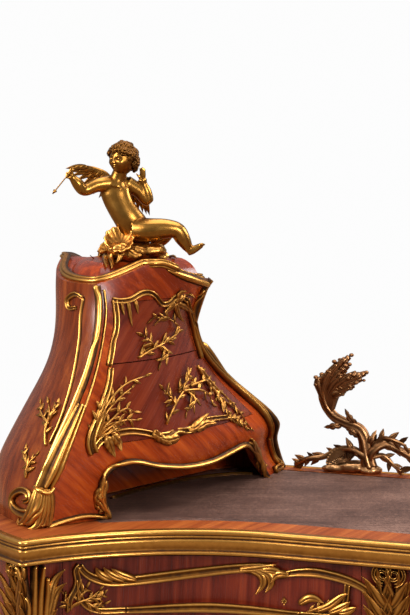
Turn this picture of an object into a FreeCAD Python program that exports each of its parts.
"""Kidney-shaped writing desk with a waisted cabinet on each wing, all in millimetres, +Z up.

The origin is on the floor, at the middle of the desk's plan. The sitter is on the -Y side.
Everything is modelled for the left wing (-X) and mirrored to the right.
"""
import FreeCAD
import Part
import math
import os

V = FreeCAD.Vector
os.makedirs("parts", exist_ok=True)

# Plan of the top
top_height = 780.0
top_depth = 805.0
tip_half_span = 840.0      # from the middle to each wing's front corner
lobe_bulge = 240.0         # how far the wing's end swells past that corner
lobe_back_radius = 415.0
wing_reach = 207.0         # how far the wings come forward of the knee front
wing_run = 400.0           # length along X of the hollow curve from corner to knee front
board_thick = 30.0
rim_width = 16.0
rim_height = 44.0
rim_fillet_step = 4.0      # how far the moulding's upper and lower lips step back
rim_lip_height = 11.0
leather_thick = 3.0
leather_front_border = 80.0
leather_back_border = 48.0

# Frieze below the top
frieze_inset = 24.0
frieze_thick = 20.0
frieze_height = 176.0      # from its lower edge to the top's upper face
frieze_bottom = top_height - frieze_height
floor_thick = 12.0
divider_thick = 18.0
rail_width = 12.0          # of the frame left above and below the drawer fronts

# Drawers in the frieze
fit_gap = 1.0              # all round a drawer front
side_wall = 10.0           # drawer sides and backs
drawer_floor = 6.0
slide_gap = 0.4            # between a drawer's box and what carries it
wing_drawer_half = 262.0
wing_box_half = 205.0
wing_box_depth = 300.0
knee_box_depth = 360.0
box_play = 14.0            # how far a box's sides stand in from its front's ends
mount_proud = 5.0          # how far bronze stands in front of the wood
frame_band = 13.0          # width of the bronze frame on a drawer
frame_margin = 9.0
pull_radius = 4.5
pull_reach = 26.0
pull_half = 48.0
pull_post_share = 0.7      # of the half bar, where its posts stand
stem_shares = (-1.0, -0.6, 0.0, 0.6, 1.0)  # stations along a leafy bow
stem_thick_shares = (0.75, 0.95, 1.25, 0.95, 0.75)

# Legs
leg_inset = 46.0           # of the leg's axis from the top's edge
knee_leg_x = 250.0
rear_leg_x = 330.0
back_leg_angle = 138.0     # round the lobe's centre, in degrees from +X
post_radius = 26.0
leg_knee_radius = 31.0
leg_ankle_radius = 14.0
leg_toe_radius = 21.0
leg_knee_out = 8.0
leg_ankle_in = 10.0
leg_toe_out = 16.0
shoe_wall = 4.0
shoe_height = 78.0
chute_wall = 5.0
chute_top_gap = 6.0
chute_height = 250.0

# Cabinet on the wing
cab_height = 425.0
cab_wall = 16.0
cab_arch_rise = 35.0       # how far the crown arches above its front corner
dome_rise = 38.0           # of the lid above the corners
dome_inset = 60.0          # from the walls to the flat of the dome
dome_inset_shares = (0.04, 0.16, 0.40, 0.72, 1.0)
dome_rise_shares = (-0.35, 0.30, 0.74, 0.95, 1.0)
shelf_thick = 12.0
niche_depth = 107.0
niche_wall = 10.0
niche_height = 90.0
drawer_joint = 282.0       # height of the line between the two cabinet drawers
lower_front_bottom = 138.0
upper_front_top = 392.0
slide_angle = -21.5        # of the drawers' travel from +X, in degrees
upper_box_depth = 92.0
lower_box_depth = 150.0
edge_bead_radius = 8.0
rim_bead_radius = 7.5
niche_band = 8.0

# Figure, rockwork and gallery in cast bronze
look_turn = 20.0           # of the figure's broad side from +X, in degrees
figure_height = 205.0      # from its seat to the crown of its head
seat_height = 30.0         # of the rockwork's top above the dome
rock_height = 46.0
rock_radius = 46.0
gallery_start = 243.0      # from the wing's front corner, along X
gallery_height = 232.0
gallery_tube = 11.0
gallery_edge = 25.0        # from the back edge of the top to the gallery's line
overrun = 40.0             # how far cutting tools run past what they cut

# Figure as shares of its height: right, up and front of its seat
seat_shares = (0.088, 0.422)  # of the top's depth, right of and behind the wing's front corner
head_centre_shares = (-0.104, 0.80, 0.02)
head_share = 0.125
torso_joint_shares = ((0.05, 0.02, 0.0), (0.02, 0.14, 0.0), (-0.095, 0.304, 0.0), (-0.175, 0.486, 0.0),
                (-0.155, 0.60, 0.0), (-0.13, 0.70, 0.01))
torso_radius_shares = (0.10, 0.125, 0.105, 0.125, 0.085, 0.055)
near_arm_joint_shares = ((-0.20, 0.575, 0.02), (-0.30, 0.60, 0.04), (-0.475, 0.515, 0.10), (-0.60, 0.65, 0.15),
                   (-0.66, 0.69, 0.17))
near_arm_radius_shares = (0.05, 0.058, 0.052, 0.034, 0.022)
far_arm_joint_shares = ((-0.12, 0.57, -0.03), (-0.03, 0.57, -0.10), (0.12, 0.40, -0.12), (0.095, 0.56, -0.11),
                  (0.07, 0.70, -0.10))
far_arm_radius_shares = (0.05, 0.055, 0.05, 0.034, 0.014)
near_leg_joint_shares = ((0.02, 0.10, 0.05), (0.15, 0.125, 0.08), (0.40, 0.15, 0.09), (0.455, 0.04, 0.08),
                   (0.50, -0.045, 0.07))
near_leg_radius_shares = (0.095, 0.098, 0.072, 0.056, 0.036)
near_foot_joint_shares = ((0.46, -0.06, 0.07), (0.52, -0.045, 0.075), (0.60, -0.015, 0.08), (0.655, 0.01, 0.085))
near_foot_radius_shares = (0.02, 0.034, 0.028, 0.015)
far_leg_joint_shares = ((0.02, 0.10, -0.05), (0.15, 0.10, -0.12), (0.33, 0.12, -0.19), (0.27, 0.02, -0.25),
                  (0.20, -0.06, -0.28))
far_leg_radius_shares = (0.09, 0.09, 0.066, 0.05, 0.034)
arrow_joint_shares = ((-0.63, 0.66, 0.17), (-0.68, 0.57, 0.19), (-0.73, 0.48, 0.20))
arrow_radius_shares = (0.011, 0.011, 0.011)
figure_limb_shares = ((torso_joint_shares, torso_radius_shares), (near_arm_joint_shares, near_arm_radius_shares), (far_arm_joint_shares, far_arm_radius_shares),
                (near_leg_joint_shares, near_leg_radius_shares), (near_foot_joint_shares, near_foot_radius_shares),
                (far_leg_joint_shares, far_leg_radius_shares), (arrow_joint_shares, arrow_radius_shares))
near_wing_shares = ((-0.14, 0.50), (-0.30, 0.52), (-0.50, 0.60), (-0.66, 0.71), (-0.45, 0.70), (-0.26, 0.71),
                    (-0.14, 0.62))
far_wing_shares = ((-0.16, 0.44), (-0.05, 0.36), (0.06, 0.30), (0.04, 0.44), (-0.04, 0.56), (-0.12, 0.62))
wing_plane_shares = ((-0.06, 0.0), (-0.20, -0.73))  # each wing's front at the seat, and its slope to the right
wing_thick_share = 0.03
rock_height_shares = (-0.1, 0.35, 0.75, 1.0)
rock_radius_shares = (1.0, 0.98, 0.80, 0.50)

# Gallery runs: shares of the way from the cabinet to the middle and of the gallery's height, then of its thickness
gallery_run_shares = (
    (((0.27, 0.09), (0.255, 0.21), (0.255, 0.31), (0.228, 0.39), (0.182, 0.43), (0.143, 0.48), (0.12, 0.56),
      (0.112, 0.65), (0.115, 0.73), (0.137, 0.81), (0.175, 0.90), (0.20, 0.965)),
     (1.2, 1.15, 1.0, 0.95, 0.85, 0.85, 0.95, 1.15, 1.35, 1.6, 1.75, 0.9)),
    (((0.27, 0.09), (0.285, 0.19), (0.325, 0.26), (0.375, 0.21), (0.43, 0.16), (0.52, 0.12), (0.62, 0.17),
      (0.72, 0.26), (0.82, 0.27), (0.92, 0.20), (1.0, 0.18)),
     (0.9, 0.9, 0.75, 0.7, 0.65, 0.7, 0.75, 0.7, 0.75, 0.8, 0.8)),
    (((0.26, 0.14), (0.21, 0.20), (0.155, 0.18), (0.11, 0.12), (0.06, 0.10), (0.03, 0.06), (0.005, 0.025)),
     (0.85, 0.85, 0.75, 0.7, 0.6, 0.5, 0.45)),
    (((0.13, 0.05), (0.15, 0.06), (0.19, 0.075), (0.24, 0.08), (0.29, 0.06), (0.33, 0.03)),
     (0.7, 1.5, 1.75, 1.6, 1.1, 0.6)),
    (((0.46, 0.08), (0.50, 0.10), (0.54, 0.08)), (0.7, 1.4, 0.7)),
    (((0.94, 0.12), (0.97, 0.20), (1.0, 0.24)), (1.0, 1.8, 2.0)),
)

# Levels of the cabinet as shares of its height, and the plan of its edges there as shares of the top's depth,
# counted from the wing's front corner. The front edge is a, the rear edge b and the outermost line of the back l.
level_shares = (0.0, 0.06, 0.15, 0.24, 0.33, 0.49, 0.66, 0.80, 1.0, 1.08)
edge_a_shares = ((-0.030, 0.129), (-0.027, 0.130), (-0.019, 0.138), (-0.001, 0.150), (0.017, 0.165),
                 (0.045, 0.198), (0.061, 0.232), (0.063, 0.262), (0.055, 0.286), (0.050, 0.293))
edge_b_shares = ((0.278, 0.958), (0.265, 0.950), (0.264, 0.922), (0.284, 0.876), (0.266, 0.825),
                 (0.212, 0.720), (0.188, 0.617), (0.183, 0.555), (0.234, 0.534), (0.248, 0.532))
edge_l_shares = ((-0.263, 0.407), (-0.262, 0.407), (-0.256, 0.410), (-0.240, 0.416), (-0.216, 0.425),
                 (-0.171, 0.447), (-0.129, 0.480), (-0.118, 0.497), (-0.113, 0.487), (-0.114, 0.484))
front_bow_share = 0.095        # swell of the front, as a share of its chord
side_bow_shares = (0.10, 0.20)  # at the foot and at the top
back_bow_shares = (0.24, 0.34)
# Outlines on the front, as shares of the front's width from edge a to edge b
upper_front_shares = (0.13, 0.87)
lower_front_shares = (0.13, 0.90)
niche_shares = (0.205, 0.845)
niche_line_shares = ((0.205, 0.0), (0.178, 0.50), (0.182, 0.82), (0.215, 1.03), (0.270, 1.05), (0.347, 0.92),
                     (0.470, 0.78), (0.586, 0.76), (0.700, 0.87), (0.762, 0.93), (0.815, 0.80), (0.850, 0.40),
                     (0.875, 0.0))  # of the front's width and of the opening's height
crown_wave_shares = ((-0.20, -0.25), (0.0, 0.0), (0.14, 0.32), (0.28, 0.72), (0.43, 1.0), (0.60, 0.58),
                     (0.80, 0.08), (1.0, -0.10), (1.20, -0.30))  # of the crown's chord and of its rise
middle_share = 0.5
sprig_shares = (0.50, 0.55)    # of the front's width, at the upper and the lower drawer
upper_box_shares = (0.26, 0.72)
lower_box_shares = (0.24, 0.72)


def unit(v):
    return v * (1.0 / v.Length)


def at(p, z):
    return V(p.x, p.y, z)


def arc(p, m, q):
    return Part.Arc(p, m, q).toShape()


def line(p, q):
    return Part.LineSegment(p, q).toShape()


def prism(edges, travel):
    return Part.Face(Part.Wire(edges)).extrude(travel)


def polygon(points):
    return [line(p, q) for p, q in zip(points, points[1:] + points[:1])]


def box_between(low, high):
    size = high - low
    return Part.makeBox(size.x, size.y, size.z, low)


def mirrored(shape):
    return shape.mirror(V(), V(1, 0, 0))


def both(shape):
    return Part.makeCompound([shape, mirrored(shape)])


def write(name, shape):
    shape.exportStep("parts/" + name + ".step")


def write_pair(name, shape):
    write(name + "_left", shape)
    write(name + "_right", mirrored(shape))


# Outline of the top: arcs and lines that can be drawn at any inset
corner = V(-tip_half_span, -top_depth / 2, 0)
knee_start = corner + V(wing_run, wing_reach, 0)
hollow_radius = (wing_run ** 2 + wing_reach ** 2) / (2 * wing_reach)
hollow_centre = knee_start - V(0, hollow_radius, 0)
lobe_side = V(corner.x - lobe_bulge, top_depth / 2 - lobe_back_radius, 0)
lobe_front_run = lobe_side.y - corner.y
lobe_front_radius = (lobe_bulge ** 2 + lobe_front_run ** 2) / (2 * lobe_bulge)
lobe_front_centre = lobe_side + V(lobe_front_radius, 0, 0)
lobe_back_centre = lobe_side + V(lobe_back_radius, 0, 0)


def tip(inset):
    """Where the hollow front and the lobe meet at an inset: two circles crossing near the corner."""
    r1 = hollow_radius + inset
    r2 = lobe_front_radius - inset
    across = lobe_front_centre - hollow_centre
    d = across.Length
    along = (d * d + r1 * r1 - r2 * r2) / (2 * d)
    off = math.sqrt(r1 * r1 - along * along)
    u = unit(across)
    n = V(-u.y, u.x, 0)
    choices = [hollow_centre + u * along + n * s for s in (off, -off)]
    return min(choices, key=lambda p: (p - corner).Length)


def on_circle(centre, p, q):
    """The middle of the arc from p to q round a centre."""
    middle = (p + q) / 2 - centre
    return centre + unit(middle) * (p - centre).Length


def run(name, inset):
    """Start, middle and end of one stretch of the left half of the outline; a straight stretch has no middle."""
    t = tip(inset)
    k = knee_start + V(0, inset, 0)
    w = lobe_side + V(inset, 0, 0)
    b = lobe_back_centre + V(0, lobe_back_radius - inset, 0)
    if name == "hollow":
        return t, on_circle(hollow_centre, t, k), k
    if name == "knee":
        return k, None, V(0, k.y, 0)
    if name == "lobe_front":
        return t, on_circle(lobe_front_centre, t, w), w
    if name == "lobe_back":
        return w, on_circle(lobe_back_centre, w, b), b
    return b, None, V(0, b.y, 0)


def run_edge(name, inset, z, backwards=False):
    p, m, q = run(name, inset)
    if backwards:
        p, q = q, p
    if m is None:
        return line(at(p, z), at(q, z))
    return arc(at(p, z), at(m, z), at(q, z))


def strip(name, outer, inner, low, high):
    """A board that follows one stretch of the outline between two insets and two heights."""
    p, _, q = run(name, outer)
    r, _, s = run(name, inner)
    edges = [run_edge(name, outer, low), line(at(q, low), at(s, low)),
             run_edge(name, inner, low, True), line(at(r, low), at(p, low))]
    return prism(edges, V(0, 0, high - low))


def half_plate(inset, low, high):
    """The left half of a plate that fills the outline at an inset."""
    front = V(0, knee_start.y + inset, low)
    back = V(0, top_depth / 2 - inset, low)
    edges = [run_edge("hollow", inset, low, True), run_edge("lobe_front", inset, low),
             run_edge("lobe_back", inset, low), run_edge("back", inset, low), line(back, front),
             run_edge("knee", inset, low, True)]
    return prism(edges, V(0, 0, high - low))


def whole(half):
    return half.fuse(mirrored(half)).removeSplitter()


# Cabinet sections
def spread(shares, name_z):
    return corner + V(shares[0] * top_depth, shares[1] * top_depth, name_z)


def bowed(p, q, sagitta, inward_to):
    """The middle of an arc over the chord pq that swells away from a point."""
    middle = (p + q) / 2
    chord = q - p
    normal = unit(V(-chord.y, chord.x, 0))
    if normal.dot(middle - inward_to) < 0:
        normal = normal * -1
    return middle + normal * sagitta


def section(i):
    """The three corners and the three arc middles of the cabinet's plan at one level."""
    z = top_height + level_shares[i] * cab_height
    a = spread(edge_a_shares[i], z)
    b = spread(edge_b_shares[i], z)
    c = spread(edge_l_shares[i], z)
    heart = (a + b + c) / 3
    rise = min(level_shares[i], 1.0)
    side_bow = side_bow_shares[0] + (side_bow_shares[1] - side_bow_shares[0]) * rise
    back_bow = back_bow_shares[0] + (back_bow_shares[1] - back_bow_shares[0]) * rise
    front = bowed(a, b, front_bow_share * (b - a).Length, heart)
    back = bowed(b, c, back_bow * (c - b).Length, heart)
    side = bowed(c, a, side_bow * (a - c).Length, heart)
    return a, front, b, back, c, side


def centre_of(p, m, q):
    """Centre of the circle through three points at one height."""
    u = m - p
    w = q - p
    d = 2 * (u.x * w.y - u.y * w.x)
    x = (w.y * u.dot(u) - u.y * w.dot(w)) / d
    y = (u.x * w.dot(w) - w.x * u.dot(u)) / d
    return p + V(x, y, 0)


def inset_section(i, wall):
    """The same section moved inwards by a wall; each corner stays on its mitre."""
    a, front, b, back, c, side = section(i)
    centres = [centre_of(a, front, b), centre_of(b, back, c), centre_of(c, side, a)]

    def inward(k, p):
        return unit(centres[k] - p)

    def mitre(p, k, j):
        n, m = inward(k, p), inward(j, p)
        return p + (n + m) * (wall / (1 + n.dot(m)))

    return (mitre(a, 0, 2), front + inward(0, front) * wall, mitre(b, 0, 1),
            back + inward(1, back) * wall, mitre(c, 1, 2), side + inward(2, side) * wall)


levels = range(len(level_shares))
outer_sections = [section(i) for i in levels]
inner_sections = [inset_section(i, cab_wall) for i in levels]


def cabinet_solid(sections):
    wires = []
    for a, front, b, back, c, side in sections:
        wires.append(Part.Wire([arc(a, front, b), arc(b, back, c), arc(c, side, a)]))
    return Part.makeLoft(wires, True, False)


def wedge(first, last, sections, guard):
    """A block round the walls from one corner to another, with its ends on the mitres."""
    wires = []
    for ring, inner in sections:
        points = []
        for k in (first, last):
            way = unit(inner[k] - ring[k])
            points.append((ring[k] - way * guard, inner[k] + way * cab_wall))
        (p, s), (q, r) = points
        wires.append(Part.Wire(polygon([p, q, r, s])))
    return Part.makeLoft(wires, True, False)


travel = V(math.cos(math.radians(slide_angle)), math.sin(math.radians(slide_angle)), 0)
across = V(-travel.y, travel.x, 0)


def edge_at(which, height):
    """A point on edge a (0) or edge b (2) at a height above the top, straight between levels."""
    share = height / cab_height
    for i in levels[1:]:
        if share <= level_shares[i]:
            low, high = outer_sections[i - 1][which], outer_sections[i][which]
            t = (share - level_shares[i - 1]) / (level_shares[i] - level_shares[i - 1])
            return low + (high - low) * t
    return outer_sections[-1][which]


def face_point(share, height):
    """A point on the chord plane of the front, a share of the way from edge a to edge b."""
    a = edge_at(0, height)
    b = edge_at(2, height)
    return a + (b - a) * share


reach = travel * (top_depth / 3)


def flattened(points):
    """Points moved along the travel onto one plane square to it."""
    return [p - travel * (p - face_point(middle_share, 0)).dot(travel) for p in points]


def shrunk(points, margin):
    """A flat outline with every side moved in by a margin."""
    sides = [unit(q - p) for p, q in zip(points, points[1:] + points[:1])]
    normals = [travel.cross(d) for d in sides]
    moved = []
    for p, before, after in zip(points, normals[-1:] + normals[:-1], normals):
        moved.append(p + (before + after) * (margin / (1 + before.dot(after))))
    return moved


def through(points):
    """A tool with this flat outline that runs right through the front, along the drawers' travel."""
    return prism(polygon([p - reach for p in points]), reach * 2)


def front_quad(shares, low, high, margin):
    """A drawer front's outline, moved in by a margin."""
    left, right = shares
    corners = [face_point(left, low), face_point(right, low), face_point(right, high), face_point(left, high)]
    return shrunk(flattened(corners), margin)


def curve(points):
    """A smooth line through points."""
    smooth = Part.BSplineCurve()
    smooth.interpolate(points)
    return smooth


def niche_tool_at(margin):
    """What fills the arched opening, moved out by a margin: one curve over two feet that run below the top."""
    foot = V(0, 0, overrun)
    line_points = flattened([face_point(share, up * niche_height) for share, up in niche_line_shares])
    line_points = shrunk([line_points[0] - foot] + line_points + [line_points[-1] - foot], margin)
    first, *arch, last = [p - reach for p in line_points]
    edges = [line(first, arch[0]), curve(arch).toShape(), line(arch[-1], last), line(last, first)]
    return prism(edges, reach * 2)


# Top of the desk
def rim_piece(name):
    low = top_height - rim_height
    middle = strip(name, 0, rim_width, low + rim_lip_height, top_height - rim_lip_height)
    lips = [strip(name, rim_fillet_step, rim_width, low, low + rim_lip_height),
            strip(name, rim_fillet_step, rim_width, top_height - rim_lip_height, top_height)]
    return middle.multiFuse(lips).removeSplitter()


rim_names = ("hollow", "lobe_front", "lobe_back")
rim_solids = []
for name in rim_names:
    rim_solids += [rim_piece(name), mirrored(rim_piece(name))]
for name in ("knee", "back"):
    rim_solids.append(whole(rim_piece(name)))
write("rim_moulding", Part.makeCompound(rim_solids))

# Leather lies in a shallow bed between the two niches
bed_low = top_height - leather_thick


def leather_half():
    front = leather_front_border
    back = leather_back_border
    lane = face_point(niche_shares[0], 0) - travel * niche_depth
    far = face_point(niche_shares[1], 0) - travel * niche_depth
    p, m, q = run("hollow", front)
    start = at(on_circle(hollow_centre, p, m), bed_low)
    middle = at(on_circle(hollow_centre, start - V(0, 0, bed_low), q), bed_low)
    edges = [arc(start, middle, at(q, bed_low)), line(at(q, bed_low), V(0, q.y, bed_low)),
             line(V(0, q.y, bed_low), V(0, top_depth / 2 - back, bed_low)),
             line(V(0, top_depth / 2 - back, bed_low), V(far.x + back, top_depth / 2 - back, bed_low)),
             line(V(far.x + back, top_depth / 2 - back, bed_low), at(far, bed_low)),
             line(at(far, bed_low), at(lane, bed_low)), line(at(lane, bed_low), start)]
    return prism(edges, V(0, 0, leather_thick))


leather = whole(leather_half())
write("leather_panel", leather)
top_board = whole(half_plate(rim_width, top_height - board_thick, top_height)).cut(leather)
write("top_board", top_board)

# Legs: one is lofted through circles at the origin, bowing towards -Y, and set at each place
leg_z_shares = (0.0, 0.075, 0.186, 0.447, 0.72, 0.894, 0.993)  # of the height below the frieze
instep_share = 0.8
shin_share = 1.2
thigh_share = 0.85
frieze_top = top_height - board_thick


def leg_loft(wall):
    """A leg from the floor to the underside of the top, grown by a wall."""
    radii = (leg_toe_radius, leg_toe_radius * instep_share, leg_ankle_radius, leg_ankle_radius * shin_share,
             leg_knee_radius * thigh_share, leg_knee_radius, post_radius, post_radius)
    shifts = (leg_toe_out, leg_toe_out / 2, 0, -leg_ankle_in, leg_knee_out / 2, leg_knee_out, 0, 0)
    heights = [frieze_bottom * share for share in leg_z_shares] + [frieze_top]
    wires = []
    for height, radius, shift in zip(heights, radii, shifts):
        wires.append(Part.Wire([Part.makeCircle(radius + wall, V(0, -shift, height))]))
    return Part.makeLoft(wires, True, False)


def leg_places():
    tip_out = unit(corner - lobe_front_centre)
    turn = math.radians(back_leg_angle)
    back_out = V(math.cos(turn), math.sin(turn), 0)
    return {"tip": (tip(leg_inset), tip_out),
            "knee": (V(-knee_leg_x, knee_start.y + leg_inset, 0), V(0, -1, 0)),
            "back": (lobe_back_centre + back_out * (lobe_back_radius - leg_inset), back_out),
            "rear": (V(-rear_leg_x, top_depth / 2 - leg_inset, 0), V(0, 1, 0))}


def slab(low, high):
    side = tip_half_span + lobe_bulge + overrun
    return box_between(V(-side, -top_depth, low), V(side, top_depth, high))


def placed(shape, foot, out):
    moved = shape.copy()
    quarter_turn = math.pi / 2
    turn = math.degrees(math.atan2(out.y, out.x) + quarter_turn)
    moved.Placement = FreeCAD.Placement(foot, FreeCAD.Rotation(V(0, 0, 1), turn))
    return moved


leg_wood = leg_loft(0).common(slab(shoe_wall, top_height))
leg_shoe = leg_loft(shoe_wall).common(slab(0, shoe_height)).cut(leg_wood)
chute_high = top_height - rim_height - chute_top_gap
chute_guard = box_between(V(-overrun * 2, -overrun * 3, chute_high - chute_height), V(overrun * 2, 0, chute_high))
leg_chute = leg_loft(chute_wall).common(chute_guard).cut(leg_wood)
frieze_core = whole(half_plate(frieze_inset, frieze_bottom, frieze_top))
legs = {}
shoes = []
chutes = []
for place, (foot, out) in leg_places().items():
    legs[place] = placed(leg_wood, foot, out)
    write("legs_" + place, both(legs[place]))
    shoe = placed(leg_shoe, foot, out)
    chute = max(placed(leg_chute, foot, out).cut(frieze_core).Solids, key=lambda s: s.Volume)
    shoes += [shoe, mirrored(shoe)]
    chutes += [chute, mirrored(chute)]
write("leg_shoes", Part.makeCompound(shoes))
write("leg_chutes", Part.makeCompound(chutes))

# Frieze boards, floor and dividers
inner_face = frieze_inset + frieze_thick


def fitted(shape):
    """A board with the legs it meets cut out of it."""
    posts = [w for wood in legs.values() for w in (wood, mirrored(wood))]
    for post in posts:
        if post.BoundBox.intersect(shape.BoundBox):
            shape = shape.cut(post)
    return shape


def frieze(names):
    pieces = [strip(n, frieze_inset, inner_face, frieze_bottom, frieze_top) for n in names]
    return pieces[0].multiFuse(pieces[1:]).removeSplitter() if len(pieces) > 1 else pieces[0]


write_pair("end_panel", fitted(frieze(("lobe_front", "lobe_back"))))
write("back_panel", fitted(whole(frieze(("back",)))))
floor = whole(half_plate(inner_face, frieze_bottom, frieze_bottom + floor_thick))
write("frieze_floor", fitted(floor))
divider = box_between(V(-knee_leg_x - divider_thick / 2, knee_start.y + inner_face, frieze_bottom + floor_thick),
                      V(-knee_leg_x + divider_thick / 2, top_depth / 2 - inner_face, frieze_top))
write("bay_dividers", fitted(both(divider)))

# Frieze drawers: a front cut from the frieze along its travel, a box behind it and bronze on it
drawer_low = frieze_bottom + rail_width
drawer_high = top_height - rim_height - rail_width / 2
knee_half = knee_leg_x - leg_knee_radius - chute_wall - rail_width
chord = unit(leg_places()["knee"][0] - leg_places()["tip"][0])
wing_travel = V(chord.y, -chord.x, 0)
wing_middle = (leg_places()["knee"][0] + leg_places()["tip"][0]) / 2
front_board = whole(frieze(("hollow", "knee")))
front_skin = whole(strip("hollow", frieze_inset - mount_proud, frieze_inset, frieze_bottom, frieze_top).fuse(
    strip("knee", frieze_inset - mount_proud, frieze_inset, frieze_bottom, frieze_top)))


def drawer_tool(middle, along, travel_way, half, low, high, near, far):
    """A block round a drawer: half is its half width, near and far are along its travel from the middle."""
    base = at(middle, low) + travel_way * near
    points = [base - along * half, base + along * half]
    points += [points[1] - travel_way * (near - far), points[0] - travel_way * (near - far)]
    return prism(polygon(points), V(0, 0, high - low))


def frieze_drawer(middle, along, way, half, box_half, depth, front_depth):
    near = top_depth / 2
    deep = front_depth + depth

    def tool(gap):
        return drawer_tool(middle, along, way, half - gap, drawer_low + gap, drawer_high - gap, near, -near / 2)

    front = front_board.common(tool(fit_gap))
    low = frieze_bottom + floor_thick + slide_gap
    high = drawer_high - rail_width * 2
    body = drawer_tool(middle, along, way, box_half, low, high, near, -deep)
    hollow = drawer_tool(middle, along, way, box_half - side_wall, low + drawer_floor, high + overrun, near,
                         -deep + side_wall)
    room = half_plate(inner_face, low, high)
    body = body.common(whole(room)).cut(hollow)
    rim_tool = tool(frame_margin).cut(tool(frame_margin + frame_band))
    frame = front_skin.common(rim_tool)
    return front, body, frame, tool(0)


def pull(centre, along, out):
    """A bow handle: a bar held off the front by two turned posts, ending on the wood."""
    stand = pull_reach - pull_radius
    post_at = along * (pull_half * pull_post_share)
    bar = Part.makeCylinder(pull_radius, pull_half * 2, centre + out * stand - along * pull_half, along)
    posts = [Part.makeCylinder(pull_radius, stand, centre + side, out) for side in (post_at, post_at * -1)]
    return bar.multiFuse(posts).removeSplitter()


wing_front, wing_box, wing_frame, wing_tool = frieze_drawer(
    wing_middle, chord, wing_travel, wing_drawer_half, wing_box_half, wing_box_depth, frieze_thick)
knee_middle = V(0, knee_start.y + frieze_inset, 0)
knee_front, knee_box, knee_frame, knee_tool = frieze_drawer(
    knee_middle, V(1, 0, 0), V(0, -1, 0), knee_half, knee_half - box_play, knee_box_depth, frieze_thick)
pull_height = (drawer_low + drawer_high) / 2
wing_face_depth = (hollow_centre - wing_middle).Length - hollow_radius - frieze_inset
wing_face = at(wing_middle, pull_height) + unit(hollow_centre - wing_middle) * wing_face_depth
wing_pull = pull(wing_face, chord, wing_travel).cut(wing_front)
knee_pull = pull(at(knee_middle, pull_height), V(1, 0, 0), V(0, -1, 0))
write_pair("wing_drawer_front", wing_front)
write_pair("wing_drawer_box", wing_box)
write_pair("wing_drawer_bronze", Part.makeCompound([wing_frame, wing_pull]))
write("knee_drawer_front", knee_front)
write("knee_drawer_box", knee_box)
write("knee_drawer_bronze", Part.makeCompound([knee_frame, knee_pull]))
frieze_front = fitted(front_board.cut(wing_tool).cut(mirrored(wing_tool)).cut(knee_tool))
write("frieze_front", frieze_front)

# Cabinet boards: the space between two lofts, parted on its mitres into a front, a back and a side
inside = cabinet_solid(inner_sections)
outside = cabinet_solid(outer_sections)
section_pairs = list(zip(outer_sections, inner_sections))
shell = outside.cut(inside)


def largest(shape):
    return max(shape.Solids, key=lambda solid: solid.Volume)


front_wedge = wedge(0, 2, section_pairs, top_depth / 4)
side_wedge = wedge(4, 0, section_pairs, top_depth / 4)
front_wall = largest(shell.common(front_wedge))
rest = largest(shell.cut(front_wedge))
side_wall_board = largest(rest.common(side_wedge))
back_wall = largest(rest.cut(side_wedge))
proud = outside.copy()
proud.translate(travel * mount_proud)
front_layer = proud.cut(outside)

# The crown is one wave: low at the front corner, high left of the middle, low again at the rear corner
crown_low = top_height + cab_height


crown_start = face_point(0, cab_height)
crown_chord = (face_point(1, cab_height) - crown_start).dot(across)
crown_line = curve([crown_start + across * (x * crown_chord) + V(0, 0, z * cab_arch_rise)
                    for x, z in crown_wave_shares])


def crown_tool():
    """What is above the waved crown: a block with its underside bent, along the travel."""
    lift = V(0, 0, cab_height)
    a, b = (crown_line.value(u) - reach for u in (crown_line.FirstParameter, crown_line.LastParameter))
    wave = crown_line.toShape()
    wave.translate(reach * -1)
    edges = [wave, line(b, at(b, a.z) + lift), line(at(b, a.z) + lift, a + lift), line(a + lift, a)]
    return prism(edges, reach * 2)


crown = crown_tool()
upper_tool = through(front_quad(upper_front_shares, drawer_joint, upper_front_top, 0))
lower_tool = through(front_quad(lower_front_shares, lower_front_bottom, drawer_joint, 0))
niche_tool = niche_tool_at(0)
write_pair("cabinet_front", front_wall.cut(crown).cut(upper_tool).cut(lower_tool).cut(niche_tool))
write_pair("cabinet_back", largest(back_wall.cut(crown)))
write_pair("cabinet_side", largest(side_wall_board.cut(crown)))

# The lid lies between the walls, follows the crown's wave and swells into a low dome
dome_rings = []
for inset, rise in zip(dome_inset_shares, dome_rise_shares):
    ring = inset_section(len(level_shares) - 2, cab_wall + inset * dome_inset)
    p, front, q, back, r, side = (at(x, crown_low + rise * dome_rise) for x in ring)
    dome_rings.append(Part.Wire([arc(p, front, q), arc(q, back, r), arc(r, side, p)]))
dome = Part.makeLoft(dome_rings, True, False)
lid_low = crown_low - shelf_thick + crown_wave_shares[-1][1] * cab_arch_rise
lid = inside.common(slab(lid_low, crown_low + cab_arch_rise + overrun)).cut(crown)
lid = lid.fuse(dome.common(inside))
write_pair("cabinet_lid", lid)

# Shelves under the drawers
shelf_tops = (lower_front_bottom + fit_gap, drawer_joint - fit_gap)
shelves = [inside.common(slab(top_height + h - shelf_thick, top_height + h)) for h in shelf_tops]
write_pair("cabinet_shelves", Part.makeCompound(shelves))

# The niche's lining closes the space behind the arch, from the top of the desk to the lower shelf
niche_ceiling = top_height + shelf_tops[0] - shelf_thick
lining_at = face_point(middle_share, 0) - travel * niche_depth
lining_block = drawer_tool(lining_at, across, travel, top_depth, top_height, niche_ceiling, 0, -niche_wall)
write_pair("niche_lining", inside.common(lining_block))


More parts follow.
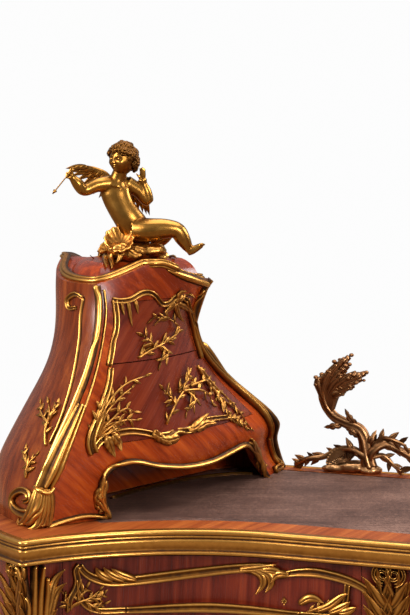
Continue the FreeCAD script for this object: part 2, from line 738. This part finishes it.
def cabinet_drawer(shares, box_shares, low, high, floor_at, depth):
    tool = through(front_quad(shares, low, high, fit_gap))
    front = front_wall.common(tool)
    left = face_point(box_shares[0], high)
    right = face_point(box_shares[1], high)
    middle = (left + right) / 2
    half = (right - left).dot(across) / 2
    bottom = top_height + floor_at + slide_gap
    top = top_height + high - shelf_thick - fit_gap * 2
    near = reach.Length
    box = drawer_tool(middle, across, travel, half, bottom, top, near, -depth)
    hollow = drawer_tool(middle, across, travel, half - side_wall, bottom + drawer_floor, top + overrun, near,
                         -depth + side_wall)
    box = box.cut(hollow).common(inside)
    ring = through(front_quad(shares, low, high, frame_margin / 2)).cut(
        through(front_quad(shares, low, high, frame_margin / 2 + frame_band)))
    return front, box, front_layer.common(ring)


def sprig(centre):
    """A leafy bow to pull by: a bent stem between two feet on the front, with leaves along it."""
    stem = []
    for share, thick in zip(stem_shares, stem_thick_shares):
        lift = pull_reach * (1 - share * share)
        stem.append((centre + across * (pull_half * share) + V(0, 0, pull_half * share) + travel * lift,
                     pull_radius * thick))
    wires = []
    for point, radius in stem:
        wires.append(Part.Wire([Part.makeCircle(radius, point, unit(across + V(0, 0, 1)))]))
    return Part.makeLoft(wires, True, False)


def on_face(share, height):
    """Where a line along the travel, through a share of the front, meets its outer face."""
    start = at(face_point(share, height), top_height + height) + reach
    hit = Part.makeLine(start, start - reach * 2).common(outside)
    return max((v.Point for v in hit.Vertexes), key=lambda p: p.dot(travel))


upper = cabinet_drawer(upper_front_shares, upper_box_shares, drawer_joint, upper_front_top, shelf_tops[1],
                       upper_box_depth)
lower = cabinet_drawer(lower_front_shares, lower_box_shares, lower_front_bottom, drawer_joint, shelf_tops[0],
                       lower_box_depth)
upper_sprig = sprig(on_face(sprig_shares[0], (drawer_joint + upper_front_top) / 2)).cut(outside)
lower_sprig = sprig(on_face(sprig_shares[1], (drawer_joint + lower_front_bottom) / 2)).cut(outside)
for name, (front, box, frame), bow in (("upper", upper, upper_sprig), ("lower", lower, lower_sprig)):
    write_pair(name + "_drawer_front", front)
    write_pair(name + "_drawer_box", box)
    write_pair(name + "_drawer_bronze", Part.makeCompound([frame, bow]))


# Bronze edges of the cabinet
def edge_bead(which):
    wires = []
    for i in levels[:-1]:
        spot = outer_sections[i][which]
        wires.append(Part.Wire([Part.makeCircle(edge_bead_radius, spot)]))
    return Part.makeLoft(wires, True, False).cut(outside)


niche_ring = niche_tool_at(niche_band).cut(niche_tool)
niche_frame = front_layer.common(niche_ring)


# Bead round the crown: one length on each wall, mitred where they meet
bead_steps = 12
halvings = 40


def crown_height(p):
    """Height of the crown's wave at a point of the plan, found by halving along the wave."""
    wanted = (p - crown_start).dot(across)
    low, high = crown_line.FirstParameter, crown_line.LastParameter
    for _ in range(halvings):
        middle = (low + high) / 2
        if (crown_line.value(middle) - crown_start).dot(across) < wanted:
            low = middle
        else:
            high = middle
    return crown_line.value(low).z


def on_arc(p, m, q, share):
    """A point a share of the way along the arc from p through m to q."""
    centre = centre_of(p, m, q)
    sweep = (p - centre).getAngle(m - centre) + (m - centre).getAngle(q - centre)
    sense = 1 if (p - centre).cross(m - centre).z > 0 else -1
    turn = FreeCAD.Rotation(V(0, 0, 1), math.degrees(sweep * share * sense))
    return centre + turn.multVec(p - centre)


def tube(points, radii, first_way=None, last_way=None):
    """A round bar of changing thickness through points; its end faces can be turned."""
    ways = [unit(q - p) for p, q in zip(points[:-2], points[2:])]
    ways = [first_way or unit(points[1] - points[0])] + ways + [last_way or unit(points[-1] - points[-2])]
    wires = [Part.Wire([Part.makeCircle(r, p, w)]) for p, r, w in zip(points, radii, ways)]
    return Part.makeLoft(wires, True, False)


def crown_bead(first, ways):
    ring = outer_sections[-2]
    p, m, q = (ring[(first + k) % 6] for k in range(3))
    points = [on_arc(p, m, q, k / bead_steps) for k in range(bead_steps + 1)]
    points = [at(x, crown_height(x)) for x in points]
    return tube(points, [rim_bead_radius] * len(points), ways[0], ways[1])


walls_below = outside.cut(crown)


def corner_way(k):
    """The way the bead runs through a corner, half way between the two walls' own ways."""
    ring = outer_sections[-2]
    p, m, q = ring[k - 2], ring[k - 1], ring[k]
    before = on_arc(p, m, q, 1 - 1 / bead_steps)
    after = on_arc(q, ring[(k + 1) % 6], ring[(k + 2) % 6], 1 / bead_steps)
    return unit(unit(q - before) + unit(after - q))


beads = []
for first in (0, 2, 4):
    beads.append(crown_bead(first, (corner_way(first), corner_way((first + 2) % 6))).cut(walls_below))
crown_beads = Part.makeCompound(beads)
write_pair("cabinet_crown_bead", crown_beads)
edge_beads = [largest(edge_bead(which).cut(crown_beads)) for which in (0, 2)]
write_pair("cabinet_edges", Part.makeCompound(edge_beads + [niche_frame]))

# Rockwork and figure on the lid, placed on the axes right, up and front of someone standing before the desk
look_right = V(math.cos(math.radians(look_turn)), math.sin(math.radians(look_turn)), 0)
look_front = V(look_right.y, -look_right.x, 0)
seat = corner + V(seat_shares[0] * top_depth, seat_shares[1] * top_depth, crown_low + dome_rise + seat_height)


def figure_point(shares):
    right, up, front = (s * figure_height for s in shares)
    return seat + look_right * right + V(0, 0, up) + look_front * front


def limb(joints, radii):
    return tube([figure_point(j) for j in joints], [r * figure_height for r in radii])


rock_rings = []
for height, radius in zip(rock_height_shares, rock_radius_shares):
    rock_rings.append(Part.Wire([Part.makeCircle(radius * rock_radius, seat + V(0, 0, (height - 1) * rock_height))]))
rock = Part.makeLoft(rock_rings, True, False)
rock_foot = Part.makeCylinder(rock_radius * rock_radius_shares[0], rock_height, seat - V(0, 0, rock_height * 2))
rock = largest(rock.fuse(rock_foot).cut(lid))
write_pair("figure_rock", rock)

head = Part.makeSphere(head_share * figure_height, figure_point(head_centre_shares))
figure = [limb(joints, radii) for joints, radii in figure_limb_shares]
wings = []
for outline, plane in zip((near_wing_shares, far_wing_shares), wing_plane_shares):
    flat = [figure_point((right, up, plane[0] + plane[1] * right)) for right, up in outline]
    wings.append(prism(polygon(flat), look_front * (-wing_thick_share * figure_height)))
figure = head.multiFuse(figure + wings)
figure = figure.cut(rock).cut(lid)
write_pair("figure", figure)


# Gallery along the back of the top, one casting on each half
def gallery_point(shares):
    x = corner.x + gallery_start + shares[0] * (tip_half_span - gallery_start)
    return V(x, top_depth / 2 - gallery_edge, top_height + shares[1] * gallery_height)


def gallery_tube_of(points, radii):
    return tube([gallery_point(p) for p in points], [r * gallery_tube for r in radii])


gallery = [gallery_tube_of(points, radii) for points, radii in gallery_run_shares]
right_half = box_between(V(0, -top_depth, 0), V(overrun * 2, top_depth, top_height * 2))
gallery = gallery[0].multiFuse(gallery[1:]).cut(slab(0, top_height)).cut(right_half)
write_pair("gallery", gallery)
